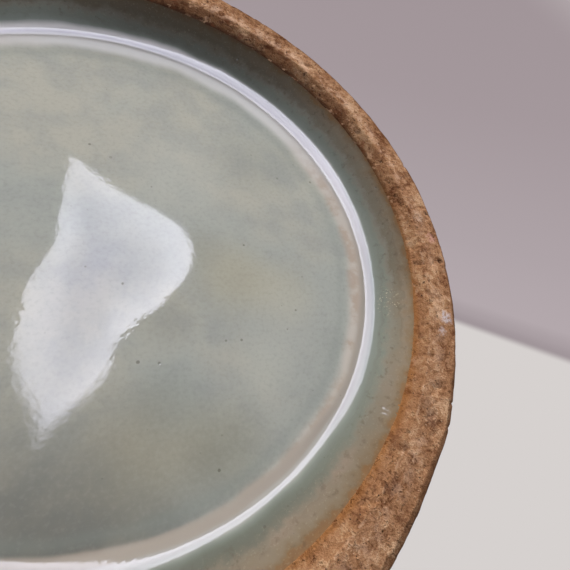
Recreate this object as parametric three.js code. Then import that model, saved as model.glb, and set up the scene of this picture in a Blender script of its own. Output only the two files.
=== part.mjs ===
// Celadon vase with a trumpet neck: a stoneware vase thrown in sections and stuck together with luting clay.
// Sizes are in millimetres and +Z is up. The origin is the centre of the circle that the foot stands on.
import * as THREE from "three";

// Facets round each turned piece
const FACETS = 40;

// Foot ring and the well under the base
const FOOT_RADIUS = 80; // outermost edge of the foot
const FOOT_EDGE_HEIGHT = 1.2; // height of that edge over the ground
const FOOT_EDGE_STEPS = 4; // facets of the rounding between the flat and the edge
const FOOT_RING_HEIGHT = 30; // from the ground to the top of the ring
const FLAT_INSET = 4.2; // from the outermost edge in to the middle of the flat that stands on the ground
const FLAT_WIDTH = 6.8; // width of that flat, up to the arris inside it
const BISCUIT_WIDTH = 11.6; // from the outermost edge in to the line where the glazed well begins
const WELL_LINE_HEIGHT = 1.2; // height of that line over the ground
const WELL_DEPTH = 9; // from the ground to the clay floor of the well
const WELL_WALL_RUN = 8.4; // from that line in to where floor and wall would meet in a sharp corner
const WELL_FILLET = 13.4; // rounding of that corner in the clay
const WELL_FILLET_STEPS = 6;

// Base disc, dropped into the ring from inside
const SEAT_INSET = 7.3; // from the well's corner in to the ring's seat for the disc
const BASE_DISC_THICKNESS = 11;
const BASE_DISC_TAPER = 3; // how much wider it is on top than on its underside
const SEAT_CLEARANCE = 0.3; // slip gap between the disc and its seat

// Wall of the vase
const WAIST_RADIUS = 65.5;
const WAIST_HEIGHT = 62;
const BELLY_ABOVE_SEAM = 80; // widest point over the foot of the upper body
const NECK_RADIUS = 49;
const NARROW_ABOVE_SEAM = 36; // narrowest point over the foot of the neck
const MOUTH_RADIUS = 119;
const BELLY_INSET = 5; // by how much the belly's radius falls short of the mouth's
const FOOT_SPREAD = 0.5; // how fast the wall spreads towards the foot, as radius over height
const MOUTH_FLARE = 1.5; // how fast the trumpet opens at the lip, as radius over height
const FOOT_WALL = 9; // wall thickness at the foot, tapering steadily to the lip
const LIP_WALL = 6;
const LIP_RISE = 4; // height of the rounding on the lip
const LIP_STEPS = 4;

// Thrown sections, from the foot upwards
const LOWER_BODY_HEIGHT = 150;
const UPPER_BODY_HEIGHT = 150;
const NECK_LENGTH = 76;
const MOUTH_LENGTH = 87; // up to the crest of the lip
const WALL_STEP = 24; // longest facet up the wall

// Luting clay between the sections
const LUTING_THICKNESS = 1.5;
const BEAD_REACH = 6; // how far the bead inside reaches over each section
const BEAD_DEPTH = 3; // how far it stands into the vase
const BASE_COIL_WIDTH = 7;
const BASE_COIL_HEIGHT = 4;

// Celadon glaze
const GLAZE_THICKNESS = 1;
const GLAZE_ON_WELL_WALL = 0.55; // thickness at the end of the corner's rounding, thinning to nothing at the line
const GLAZE_LINE_HEIGHT = 7; // where the outer coat stops above the ground
const GLAZE_ROLL_HEIGHT = 1.8; // height of the thick roll in which it ends

// Radii that follow from the foot and the mouth
const flatRadius = FOOT_RADIUS - FLAT_INSET;
const wellLineRadius = FOOT_RADIUS - BISCUIT_WIDTH;
const wellCornerRadius = wellLineRadius - WELL_WALL_RUN;
const seatRadius = wellCornerRadius - SEAT_INSET;
const discRadius = seatRadius - SEAT_CLEARANCE;
const bellyRadius = MOUTH_RADIUS - BELLY_INSET;

// Heights of the seams
const lowerBodyFoot = FOOT_RING_HEIGHT + LUTING_THICKNESS;
const lowerBodyTop = lowerBodyFoot + LOWER_BODY_HEIGHT;
const upperBodyFoot = lowerBodyTop + LUTING_THICKNESS;
const upperBodyTop = upperBodyFoot + UPPER_BODY_HEIGHT;
const neckFoot = upperBodyTop + LUTING_THICKNESS;
const neckTop = neckFoot + NECK_LENGTH;
const mouthFoot = neckTop + LUTING_THICKNESS;
const lipHeight = mouthFoot + MOUTH_LENGTH - LIP_RISE;
const narrowHeight = neckFoot + NARROW_ABOVE_SEAM;
const floorHeight = WELL_DEPTH + BASE_DISC_THICKNESS;

// Points that the outside of the clay wall runs through, each with its slope as radius over height
const WALL_POINTS = [
  { height: FOOT_EDGE_HEIGHT, radius: FOOT_RADIUS, slope: -FOOT_SPREAD },
  { height: WAIST_HEIGHT, radius: WAIST_RADIUS, slope: 0 },
  { height: upperBodyFoot + BELLY_ABOVE_SEAM, radius: bellyRadius, slope: 0 },
  { height: narrowHeight, radius: NECK_RADIUS, slope: 0 },
  { height: lipHeight, radius: MOUTH_RADIUS, slope: MOUTH_FLARE },
];

// Radius and slope of the clay wall's outside at a height, by a cubic through the points above.
function wallAt(height) {
  const upper = Math.max(1, WALL_POINTS.findIndex((point) => height <= point.height));
  const from = WALL_POINTS[upper - 1];
  const to = WALL_POINTS[upper];
  const rise = to.height - from.height;
  const t = (height - from.height) / rise;
  const radius =
    from.radius * (1 + 2 * t) * (1 - t) ** 2 +
    from.slope * rise * t * (1 - t) ** 2 +
    to.radius * t ** 2 * (3 - 2 * t) +
    to.slope * rise * t ** 2 * (t - 1);
  const slope =
    ((to.radius - from.radius) / rise) * 6 * t * (1 - t) +
    from.slope * (1 - t) * (1 - 3 * t) +
    to.slope * t * (3 * t - 2);
  return { radius, slope };
}

const outsidePoint = (height) => [wallAt(height).radius, height];

function insidePoint(height) {
  const { radius, slope } = wallAt(height);
  const share = (height - FOOT_EDGE_HEIGHT) / (lipHeight - FOOT_EDGE_HEIGHT);
  const thickness = THREE.MathUtils.lerp(FOOT_WALL, LIP_WALL, share);
  return [radius - thickness * Math.hypot(1, slope), height];
}

// Heights from one to the other in equal steps, both ends included.
function heightsBetween(bottom, top) {
  const steps = Math.max(1, Math.ceil((top - bottom) / WALL_STEP));
  return Array.from({ length: steps + 1 }, (_, step) => bottom + ((top - bottom) * step) / steps);
}

// Inner face of a section, bottom to top, with a point where the luting bead ends at each seam.
function insideFace(bottom, top, beadBelow, beadAbove) {
  const low = beadBelow ? bottom + BEAD_REACH : bottom;
  const high = beadAbove ? top - BEAD_REACH : top;
  const heights = heightsBetween(low, high);
  if (beadBelow) heights.unshift(bottom);
  if (beadAbove) heights.push(top);
  return heights.map(insidePoint);
}

const outsideFace = (bottom, top) => heightsBetween(bottom, top).map(outsidePoint);

// Moves an open outline to the right of its direction by the thickness at each of its points.
function coated(points, thicknesses) {
  return points.map(([radius, height], place) => {
    const [radiusBefore, heightBefore] = points[Math.max(place - 1, 0)];
    const [radiusAfter, heightAfter] = points[Math.min(place + 1, points.length - 1)];
    const acrossRadius = heightAfter - heightBefore;
    const acrossHeight = radiusBefore - radiusAfter;
    const scale = thicknesses[place] / Math.hypot(acrossRadius, acrossHeight);
    return [radius + acrossRadius * scale, height + acrossHeight * scale];
  });
}

// Turns an outline of [radius, height] points round Z. It runs up on the outside and down on the inside,
// and a ring's outline is closed here.
function turned(outline) {
  const onAxis = outline[0][0] === 0;
  const points = onAxis ? outline : [...outline, outline[0]];
  const geometry = new THREE.LatheGeometry(
    points.map(([radius, height]) => new THREE.Vector2(radius, height)),
    FACETS,
  );
  return geometry.rotateX(Math.PI / 2);
}

// The same for a piece that lies against a turned wall: each facet is split along its other diagonal,
// so that both faces have the same triangles.
function turnedAgainstWall(outline) {
  const geometry = turned(outline);
  const corners = geometry.index.array;
  for (let first = 0; first < corners.length; first += 6) {
    const [a, b, d, c] = corners.slice(first, first + 4);
    corners.set([a, b, c, a, c, d], first);
  }
  return geometry;
}

const biscuit = () => new THREE.MeshStandardMaterial({ color: 0x96714f, roughness: 0.85, metalness: 0 });
const stoneware = () => new THREE.MeshStandardMaterial({ color: 0xa39c90, roughness: 0.9, metalness: 0 });
const lutingClay = () => new THREE.MeshStandardMaterial({ color: 0xb3aa9b, roughness: 0.9, metalness: 0 });
const celadon = () => new THREE.MeshStandardMaterial({ color: 0xa0a094, roughness: 0.15, metalness: 0 });

function piece(name, geometry, material) {
  const mesh = new THREE.Mesh(geometry, material);
  mesh.name = name;
  return mesh;
}

// Rounding of the well's corner in the clay, from the floor to the wall.
function wellFillet() {
  const turn = Math.atan2(WELL_DEPTH - WELL_LINE_HEIGHT, wellLineRadius - wellCornerRadius);
  const centreRadius = wellCornerRadius - WELL_FILLET * Math.tan(turn / 2);
  const centreHeight = WELL_DEPTH - WELL_FILLET;
  return Array.from({ length: WELL_FILLET_STEPS + 1 }, (_, step) => {
    const angle = (turn * step) / WELL_FILLET_STEPS;
    return [centreRadius + WELL_FILLET * Math.sin(angle), centreHeight + WELL_FILLET * Math.cos(angle)];
  });
}

// Clay wall of the well from its floor to the glaze line.
const wellWall = () => [...wellFillet(), [wellLineRadius, WELL_LINE_HEIGHT]];

// Underside of the foot from the arris inside its flat to the outermost edge.
function footEdge() {
  const flatInside = [flatRadius - FLAT_WIDTH / 2, 0];
  const flatOutside = flatRadius + FLAT_WIDTH / 2;
  const rounding = Array.from({ length: FOOT_EDGE_STEPS + 1 }, (_, step) => {
    const angle = ((Math.PI / 2) * step) / FOOT_EDGE_STEPS;
    return [
      flatOutside + (FOOT_RADIUS - flatOutside) * Math.sin(angle),
      FOOT_EDGE_HEIGHT * (1 - Math.cos(angle)),
    ];
  });
  return [flatInside, ...rounding];
}

// Outside of the ring above its edge, with points where the outer glaze begins and is fully thick.
const footOutside = () =>
  [GLAZE_LINE_HEIGHT, GLAZE_LINE_HEIGHT + GLAZE_ROLL_HEIGHT, FOOT_RING_HEIGHT].map(outsidePoint);

function footRing() {
  return turned([
    ...footEdge(),
    ...footOutside(),
    insidePoint(FOOT_RING_HEIGHT),
    insidePoint(FOOT_RING_HEIGHT - BEAD_REACH),
    insidePoint(floorHeight),
    [seatRadius + BASE_DISC_TAPER, floorHeight],
    [seatRadius, WELL_DEPTH],
    ...wellWall(),
  ]);
}

function baseDisc() {
  return turned([
    [0, WELL_DEPTH],
    [discRadius, WELL_DEPTH],
    [discRadius + BASE_DISC_TAPER, floorHeight],
    [0, floorHeight],
  ]);
}

// Coil smeared over the disc's seam, on the floor inside the vase.
function baseLuting() {
  const seam = discRadius + BASE_DISC_TAPER;
  const half = BASE_COIL_WIDTH / 2;
  return turned([
    [seam - half, floorHeight],
    [seam + half, floorHeight],
    [seam + half / 2, floorHeight + BASE_COIL_HEIGHT],
    [seam - half / 2, floorHeight + BASE_COIL_HEIGHT],
  ]);
}

// Layer of luting clay on a seam, with the bead that is smeared over both sections inside.
function lutingWithBead(bottom) {
  const top = bottom + LUTING_THICKNESS;
  const beadTop = top + BEAD_REACH;
  const beadBottom = bottom - BEAD_REACH;
  const proud = (height) => [insidePoint(height)[0] - BEAD_DEPTH, height];
  return turnedAgainstWall([
    outsidePoint(bottom),
    outsidePoint(top),
    insidePoint(top),
    insidePoint(beadTop),
    proud((top + beadTop) / 2),
    proud((bottom + beadBottom) / 2),
    insidePoint(beadBottom),
    insidePoint(bottom),
  ]);
}

// Layer of luting clay in the neck, trimmed flush inside because glaze covers it there.
function lutingFlush(bottom) {
  const top = bottom + LUTING_THICKNESS;
  return turned([outsidePoint(bottom), outsidePoint(top), insidePoint(top), insidePoint(bottom)]);
}

function section(bottom, top, beadBelow, beadAbove) {
  return turned([...outsideFace(bottom, top), ...insideFace(bottom, top, beadBelow, beadAbove).reverse()]);
}

// Inner face of the neck, bottom to top, with a point at its narrowest, where the inner glaze ends.
function neckInside() {
  const above = heightsBetween(narrowHeight, neckTop).map(insidePoint);
  return [...insideFace(neckFoot, narrowHeight, true, false), ...above.slice(1)];
}

const neckSection = () => turned([...outsideFace(neckFoot, neckTop), ...neckInside().reverse()]);

// Rounding over the lip from the outside of the wall to the inside, without its two ends.
function lipRounding() {
  const outer = outsidePoint(lipHeight)[0];
  const inner = insidePoint(lipHeight)[0];
  return Array.from({ length: LIP_STEPS - 1 }, (_, step) => {
    const angle = (Math.PI * (step + 1)) / LIP_STEPS;
    return [
      (outer + inner) / 2 + ((outer - inner) / 2) * Math.cos(angle),
      lipHeight + LIP_RISE * Math.sin(angle),
    ];
  });
}

function mouthSection() {
  return turned([
    ...outsideFace(mouthFoot, lipHeight),
    ...lipRounding(),
    ...insideFace(mouthFoot, lipHeight, false, false).reverse(),
  ]);
}

// One coat over the outside, the lip and the inside of the mouth, down to the narrowest part of the neck.
function glazeCoat() {
  const clay = [
    ...footOutside(),
    ...outsideFace(lowerBodyFoot, lowerBodyTop),
    ...outsideFace(upperBodyFoot, upperBodyTop),
    ...outsideFace(neckFoot, neckTop),
    ...outsideFace(mouthFoot, lipHeight),
    ...lipRounding(),
    ...insideFace(mouthFoot, lipHeight, false, false).reverse(),
    ...heightsBetween(narrowHeight, neckTop).map(insidePoint).reverse(),
  ];
  const thicknesses = clay.map(() => GLAZE_THICKNESS);
  thicknesses[0] = 0;
  thicknesses[clay.length - 1] = 0;
  return turnedAgainstWall([...coated(clay, thicknesses), ...clay.slice(1, -1).reverse()]);
}

function baseGlaze() {
  const clay = [[0, WELL_DEPTH], ...wellWall()];
  const thinning = wellFillet().map((_, step) =>
    THREE.MathUtils.lerp(GLAZE_THICKNESS, GLAZE_ON_WELL_WALL, step / WELL_FILLET_STEPS),
  );
  const thicknesses = [GLAZE_THICKNESS, ...thinning, 0];
  return turnedAgainstWall([...coated(clay, thicknesses), ...clay.slice(0, -1).reverse()]);
}

const vase = new THREE.Group();
vase.add(
  piece("foot_ring", footRing(), biscuit()),
  piece("base_disc", baseDisc(), stoneware()),
  piece("base_luting", baseLuting(), lutingClay()),
  piece("foot_luting", lutingWithBead(FOOT_RING_HEIGHT), lutingClay()),
  piece("lower_body", section(lowerBodyFoot, lowerBodyTop, true, true), stoneware()),
  piece("belly_luting", lutingWithBead(lowerBodyTop), lutingClay()),
  piece("upper_body", section(upperBodyFoot, upperBodyTop, true, true), stoneware()),
  piece("neck_luting", lutingWithBead(upperBodyTop), lutingClay()),
  piece("neck", neckSection(), stoneware()),
  piece("mouth_luting", lutingFlush(neckTop), lutingClay()),
  piece("mouth", mouthSection(), stoneware()),
  piece("glaze_coat", glazeCoat(), celadon()),
  piece("base_glaze", baseGlaze(), celadon()),
);

export default vase;
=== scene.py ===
# %% [markdown]
# # A celadon vase, seen from under its foot
# The object is a large stoneware vase with a trumpet neck, thrown in sections, luted and dipped in a
# grey-green glaze. The picture looks straight into the well under its base, so the bare foot ring and the
# well get the closest work. Lengths are in metres, the foot stands on z = 0, and Z is the axis.

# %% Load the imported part
import math

import bmesh
import bpy
import numpy as np
from mathutils import Matrix, Vector, noise


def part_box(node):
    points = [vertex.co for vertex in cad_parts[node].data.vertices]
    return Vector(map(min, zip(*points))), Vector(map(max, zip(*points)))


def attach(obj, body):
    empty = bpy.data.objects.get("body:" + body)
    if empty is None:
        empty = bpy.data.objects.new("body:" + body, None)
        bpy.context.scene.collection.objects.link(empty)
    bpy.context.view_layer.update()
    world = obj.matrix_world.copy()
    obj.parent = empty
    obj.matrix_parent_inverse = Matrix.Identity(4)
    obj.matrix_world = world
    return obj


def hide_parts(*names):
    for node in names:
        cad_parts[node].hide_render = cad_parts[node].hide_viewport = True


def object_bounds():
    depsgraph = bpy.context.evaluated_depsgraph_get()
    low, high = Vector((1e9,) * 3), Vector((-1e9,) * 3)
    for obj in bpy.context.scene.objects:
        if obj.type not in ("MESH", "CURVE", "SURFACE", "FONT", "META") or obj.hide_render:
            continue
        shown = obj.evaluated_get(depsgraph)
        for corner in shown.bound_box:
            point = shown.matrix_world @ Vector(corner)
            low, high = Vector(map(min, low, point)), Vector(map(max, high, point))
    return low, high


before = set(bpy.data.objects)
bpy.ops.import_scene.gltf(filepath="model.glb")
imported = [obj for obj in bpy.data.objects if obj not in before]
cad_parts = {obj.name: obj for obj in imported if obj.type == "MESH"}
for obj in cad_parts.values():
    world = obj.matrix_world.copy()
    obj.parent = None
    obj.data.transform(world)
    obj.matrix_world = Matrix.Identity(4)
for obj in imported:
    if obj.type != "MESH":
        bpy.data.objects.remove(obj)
CAD_BOX = [list(corner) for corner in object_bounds()]
MM = 0.001
FOOT_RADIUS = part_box("foot_ring")[1].x
VASE_HEIGHT = CAD_BOX[1][2]
print("Packed part:", len(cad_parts), "pieces")
print(f"Foot radius {FOOT_RADIUS / MM:.1f} mm, height {VASE_HEIGHT / MM:.0f} mm")

# %% [markdown]
# ## Reading the outlines
# Every piece was turned on a wheel, so half of its section says all about its shape. Typed in again, it could
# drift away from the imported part, so it is read from the CAD piece: the edges of its mesh that lie in the
# half-plane at +X are walked in order.

# %% Walk the edges of a turned piece
PLANE = 0.005 * MM


def outline_of(node_name):
    """Outline of a turned CAD piece as rows of radius and height, up on the outside and down on the inside.
    It starts and ends on the axis where the piece is solid there, and closes on itself otherwise."""
    cut = bmesh.new()
    cut.from_mesh(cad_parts[node_name].data)
    bmesh.ops.remove_doubles(cut, verts=cut.verts, dist=PLANE)
    in_plane = {v for v in cut.verts if abs(v.co.y) < PLANE and v.co.x > -PLANE}
    beside = {v: [e.other_vert(v) for e in v.link_edges if e.other_vert(v) in in_plane] for v in in_plane}
    on_axis = [v for v in in_plane if len(beside[v]) == 1]
    path = [min(on_axis or in_plane, key=lambda v: (v.co.z, -v.co.x))]
    while following := [v for v in beside[path[-1]] if v not in path]:
        path.append(following[0])
    outline = np.array([(v.co.x, v.co.z) for v in path])
    cut.free()
    ahead = np.roll(outline, -1, axis=0)
    area = np.sum(outline[:, 0] * ahead[:, 1] - ahead[:, 0] * outline[:, 1])
    return outline if area > 0 else outline[::-1]


outlines = {name: outline_of(name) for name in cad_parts}
print("Corners in each outline:", {name: len(outline) for name, outline in outlines.items()})

# %% [markdown]
# ## Softening the outlines
# The CAD outlines are coarse, and a potter's rib leaves flowing curves, so new points are laid along a smooth
# curve through the old corners. Where the outline turns sharply, as at a cut edge, it stays sharp.

# %% Lay points along a smooth curve
def softened(outline, step, closed=True, sharp=30):
    """The outline with points about a step apart. step is a length, or a function of radius and height.
    A corner of more than that many degrees stays a corner."""
    count = len(outline)
    ahead = np.roll(outline, -1, axis=0) - outline
    lengths = np.linalg.norm(ahead, axis=1)
    ways = ahead / np.maximum(lengths, 1e-9)[:, None]

    def way_at(place, leaving):
        if not closed and place in (0, count - 1):
            return ways[0] if place == 0 else ways[count - 2]
        before, after = ways[place - 1], ways[place]
        if before @ after < math.cos(math.radians(sharp)):
            return after if leaving else before
        blended = before * lengths[place] + after * lengths[place - 1]
        return blended / np.linalg.norm(blended)

    points = []
    for start in range(count if closed else count - 1):
        end = (start + 1) % count
        length = lengths[start]
        middle = (outline[start] + outline[end]) / 2
        pieces = max(1, math.ceil(length / (step(*middle) if callable(step) else step)))
        t = (np.arange(pieces) / pieces)[:, None]
        points.append(
            outline[start] * (1 + 2 * t) * (1 - t) ** 2
            + way_at(start, True) * length * t * (1 - t) ** 2
            + outline[end] * t**2 * (3 - 2 * t)
            + way_at(end, False) * length * t**2 * (t - 1)
        )
    if not closed:
        points.append(outline[-1:])
    return np.concatenate(points)


# %% [markdown]
# ## A short way to wire nodes
# The wheel and every finish are trees of nodes, and two small classes keep them short. Nodes adds nodes to a
# tree. A Wire is an output of a node, and it can be added, multiplied, stepped and painted on.

# %% Add nodes to a tree
class Nodes:
    """Adds nodes to one tree. An input is given by name or place, as a value or as the wire that feeds it."""

    def __init__(self, tree):
        self.tree = tree

    def feed(self, node, inputs):
        for name, value in dict(inputs).items():
            if isinstance(value, Wire):
                self.tree.links.new(value.socket, node.inputs[name])
            else:
                node.inputs[name].default_value = value
        return node

    def add(self, kind, inputs=(), **settings):
        made = self.tree.nodes.new(kind)
        for name, value in settings.items():
            setattr(made, name, value)
        return self.feed(made, inputs)

    def wire(self, kind, inputs=(), output=0, **settings):
        """One wire that leaves a new node."""
        return Wire(self, self.add(kind, inputs, **settings).outputs[output])

    def wires(self, kind, inputs=(), **settings):
        """All the wires that leave a new node, by name."""
        return {socket.name: Wire(self, socket) for socket in self.add(kind, inputs, **settings).outputs}

    def group(self, tree, inputs):
        return self.wires("ShaderNodeGroup", inputs, node_tree=tree)

    def math(self, operation, *values):
        return self.wire("ShaderNodeMath", enumerate(values), operation=operation)

    def attribute(self, name):
        return self.wire("ShaderNodeAttribute", output="Fac", attribute_name=name)


# %% Start a node group
def new_group(name, kind, inputs, outputs):
    """A group with named sockets of the types given: its tree, its Nodes and the wires of its inputs."""
    tree = bpy.data.node_groups.new(name, kind)
    for way, sockets in (("INPUT", inputs), ("OUTPUT", outputs)):
        for socket_name, socket_type in sockets.items():
            tree.interface.new_socket(socket_name, in_out=way, socket_type="NodeSocket" + socket_type)
    nodes = Nodes(tree)
    return tree, nodes, nodes.wires("NodeGroupInput")


# %% Do sums with wires and shape them
def paint(red, green, blue):
    """Linear colour of a colour that is written as it looks on a screen, from 0 to 255."""
    shares = (value / 255 for value in (red, green, blue))
    return (*(s / 12.92 if s <= 0.04045 else ((s + 0.055) / 1.055) ** 2.4 for s in shares), 1.0)


def sum_of(operation, backwards=False):
    def work(wire, other):
        return wire.nodes.math(operation, *((other, wire) if backwards else (wire, other)))

    return work


class Wire:
    """An output of a node. A sum with it adds the node that does the sum."""

    __add__ = sum_of("ADD")
    __mul__ = sum_of("MULTIPLY")
    __mod__ = sum_of("MODULO")
    __pow__ = sum_of("POWER")
    __sub__, __rsub__ = sum_of("SUBTRACT"), sum_of("SUBTRACT", True)
    __truediv__, __rtruediv__ = sum_of("DIVIDE"), sum_of("DIVIDE", True)

    def __init__(self, nodes, socket):
        self.nodes, self.socket = nodes, socket

    def part(self, axis):
        """The X, Y or Z of a vector."""
        return self.nodes.wire("ShaderNodeSeparateXYZ", {0: self}, axis)

    def vector(self, operation, other, output=0):
        return self.nodes.wire("ShaderNodeVectorMath", {0: self, 1: other}, output, operation=operation)

    def noise(self, size, detail=2.0, roughness=0.5, output=0):
        """Noise from 0 to 1 over this vector, with features of that size."""
        inputs = {"Vector": self, "Scale": 1 / size, "Detail": detail, "Roughness": roughness}
        return self.nodes.wire("ShaderNodeTexNoise", inputs, output)

    def near(self, point, inner, outer):
        """1 within the inner distance of a point and 0 past the outer one."""
        return self.vector("DISTANCE", point, "Value").fall(inner, outer)

    def step(self, low, high, start=0.0, end=1.0):
        """Smooth step from start at low to end at high."""
        inputs = {0: self, 1: low, 2: high, 3: start, 4: end}
        return self.nodes.wire("ShaderNodeMapRange", inputs, interpolation_type="SMOOTHSTEP")

    def fall(self, low, high):
        return self.step(low, high, 1.0, 0.0)

    def band(self, low, high, soft):
        """1 between low and high and 0 outside, with soft shoulders."""
        return self.step(low - soft, low + soft) * self.fall(high - soft, high + soft)

    def ramp(self, *stops):
        """Colours at places from 0 to 1, each stop a place, a red, a green and a blue."""
        made = self.nodes.add("ShaderNodeValToRGB", {"Fac": self})
        elements = made.color_ramp.elements
        elements.remove(elements[1])
        (elements[0].position, *first), *others = stops
        elements[0].color = paint(*first)
        for place, *colour in others:
            elements.new(place).color = paint(*colour)
        return Wire(self.nodes, made.outputs[0])

    def mix(self, first, second):
        """The first colour where this share is 0 and the second where it is 1."""
        return self.nodes.wire("ShaderNodeMix", {0: self, 6: first, 7: second}, 2, data_type="RGBA")

    def painted(self, *layers):
        """This colour under layers, each a share and its colour: a wire, or a red, a green and a blue."""
        for share, *colour in layers:
            self = share.mix(self, colour[0] if len(colour) == 1 else paint(*colour))
        return self

    def blend(self, first, second):
        """The first shader where this share is 0 and the second where it is 1."""
        return self.nodes.wire("ShaderNodeMixShader", {0: self, 1: first, 2: second})


# %% [markdown]
# ## The wheel
# The Screw modifier could turn an outline too, but this tree also keeps count of the outline's rows, which
# later steps need to find the foot's edge or the glaze line. It bends a grid round the axis, can leave the
# faint spiral of the potter's fingers in the wall, and merges doubled points at the seam and the poles.

# %% End a geometry tree
def deliver(nodes, geometry, finish, output):
    """Shades the geometry smooth, makes it real, gives it its finish and hands it out."""
    smooth = nodes.wire("GeometryNodeSetShadeSmooth", {"Geometry": geometry, "Shade Smooth": True})
    real = nodes.wire("GeometryNodeRealizeInstances", {"Geometry": smooth})
    coated = nodes.wire("GeometryNodeSetMaterial", {"Geometry": real, "Material": finish})
    nodes.add("NodeGroupOutput", {output: coated})


# %% Build the wheel's node tree
def wheel_tree():
    inputs = {"Outline": "Geometry", "Segments": "Int", "Closed": "Int"}
    inputs |= {"Spiral Depth": "Float", "Spiral Pitch": "Float", "Finish": "Material"}
    tree, nodes, given = new_group("turned_on_the_wheel", "GeometryNodeTree", inputs, {"Piece": "Geometry"})
    outline, segments = given["Outline"], given["Segments"]
    corners = nodes.wire("GeometryNodeAttributeDomainSize", {"Geometry": outline}, "Point Count")
    rows = corners + given["Closed"]
    size = {"Vertices X": segments + 1.0, "Vertices Y": rows}
    grid = nodes.wire("GeometryNodeMeshGrid", size, "Mesh")
    index = nodes.wire("GeometryNodeInputIndex")
    row = index % rows % corners
    remembered = {"Geometry": grid, "Name": "row", "Value": row}
    marked = nodes.wire("GeometryNodeStoreNamedAttribute", remembered, data_type="INT", domain="POINT")
    sampled = {"Geometry": outline, "Value": nodes.wire("GeometryNodeInputPosition"), "Index": row}
    corner = nodes.wire("GeometryNodeSampleIndex", sampled, data_type="FLOAT_VECTOR", domain="POINT")
    turn = nodes.math("FLOOR", (index + 0.5) / rows) / segments
    wave = nodes.math("SINE", (corner.part("Z") / given["Spiral Pitch"] + turn) * (2 * math.pi))
    radius = nodes.math("MULTIPLY_ADD", wave, given["Spiral Depth"], corner.part("X"))
    angle = turn * (2 * math.pi)
    x, y = radius * nodes.math("COSINE", angle), radius * nodes.math("SINE", angle)
    bent = nodes.wire("ShaderNodeCombineXYZ", {"X": x, "Y": y, "Z": corner.part("Z")})
    turned_grid = nodes.wire("GeometryNodeSetPosition", {"Geometry": marked, "Position": bent})
    merged = nodes.wire("GeometryNodeMergeByDistance", {"Geometry": turned_grid, "Distance": 1e-6})
    deliver(nodes, merged, given["Finish"], "Piece")
    return tree


wheel = wheel_tree()
print("The wheel has", len(wheel.nodes), "nodes")

# %% Run a node tree on a mesh and keep the result as a plain mesh
def in_scene(name, data):
    made = bpy.data.objects.new(name, data)
    bpy.context.scene.collection.objects.link(made)
    return made


def grown(name, mesh, tree, values):
    """A new object with what the node tree makes of the mesh. values are the tree's inputs by name."""
    piece = in_scene(name, mesh)
    modifier = piece.modifiers.new("maker", "NODES")
    modifier.node_group = tree
    for socket in tree.interface.items_tree:
        if socket.item_type == "SOCKET" and socket.in_out == "INPUT" and socket.name in values:
            modifier[socket.identifier] = values[socket.name]
    bpy.context.view_layer.update()
    evaluated = piece.evaluated_get(bpy.context.evaluated_depsgraph_get())
    result = bpy.data.meshes.new_from_object(evaluated)
    piece.modifiers.remove(modifier)
    piece.data = result
    result.name = name
    bpy.data.meshes.remove(mesh)
    return piece


def turned(name, outline, finish, segments, closed=True, spiral_depth=0.0, spiral_pitch=0.01):
    line = bpy.data.meshes.new(name + "_outline")
    line.from_pydata([(radius, 0, height) for radius, height in outline], [], [])
    values = {"Segments": segments, "Closed": int(closed), "Finish": finish}
    return grown(name, line, wheel, {**values, "Spiral Depth": spiral_depth, "Spiral Pitch": spiral_pitch})


# %% [markdown]
# ## What glazed and bare clay have in common
# Two effects return in several materials, so each is a group. The glaze skin has the soft mottling of a glaze
# that moved a little in the fire, its burst bubbles and fine waves. The fired clay has patches of tone, dark
# iron specks, open pits and a rough height.

# %% Cells with a chance of their own
def cells_of(nodes, place, scale):
    """The distance from the middle of the nearest cell, and three chances that differ from cell to cell."""
    cells = nodes.wires("ShaderNodeTexVoronoi", {"Vector": place, "Scale": scale, "Randomness": 1.0})
    return cells["Distance"], nodes.wires("ShaderNodeSeparateColor", {0: cells["Color"]})


# %% Group for the skin of a glaze
def glaze_skin_group():
    inputs = {"Vector": "Vector", "Patch Size": "Float", "Pinhole Spacing": "Float"}
    outputs = dict.fromkeys(("Patches", "Clouds", "Grain", "Pinholes", "Waves"), "Float")
    tree, nodes, given = new_group("glaze_skin", "ShaderNodeTree", inputs, outputs)
    place, patch_size = given["Vector"], given["Patch Size"]
    distance, chance = cells_of(nodes, place, 1 / given["Pinhole Spacing"])
    hole = (distance - chance["Green"] ** 1.7 * 0.085).fall(-0.01, 0.05)
    results = {
        "Patches": place.noise(patch_size, 3.0, 0.55),
        "Clouds": place.vector("ADD", (0.37, 0.11, 0.05)).noise(patch_size / 4.5, 4.0, 0.6),
        "Grain": place.noise(0.9 * MM, 3.0, 0.6),
        "Pinholes": chance["Red"].step(0.15, 1.0) * hole,
        "Waves": place.noise(1.0 * MM, 1.0) * 0.20 + place.noise(6.0 * MM, 0.0) * 0.45,
    }
    nodes.add("NodeGroupOutput", results)
    return tree


# %% Group for bare fired clay
def fired_clay_group():
    outputs = dict.fromkeys(("Tone", "Specks", "Pits", "Height"), "Float")
    inputs = {"Vector": "Vector", "Grain": "Float"}
    tree, nodes, given = new_group("fired_clay", "ShaderNodeTree", inputs, outputs)
    place, grain = given["Vector"], given["Grain"]

    def layer(factor, detail, roughness, shift):
        return place.vector("ADD", (shift, shift * 2, shift * 3)).noise(grain / factor, detail, roughness)

    broad, middle, fine = layer(0.16, 4.0, 0.6, 0.0), layer(0.8, 3.0, 0.65, 0.31), layer(3.2, 2.0, 0.6, 0.57)
    distance, chance = cells_of(nodes, place, 1.1 / grain)
    speck = (distance - chance["Blue"] ** 3.0 * 0.34).fall(-0.06, 0.07)
    pits = middle.step(0.6, 0.7)
    results = {
        "Tone": broad * 0.45 + (middle * 0.35 + fine * 0.2),
        "Specks": speck * chance["Red"].step(0.55, 0.7),
        "Pits": pits,
        "Height": fine + middle * 2.0 - pits,
    }
    nodes.add("NodeGroupOutput", results)
    return tree


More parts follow.
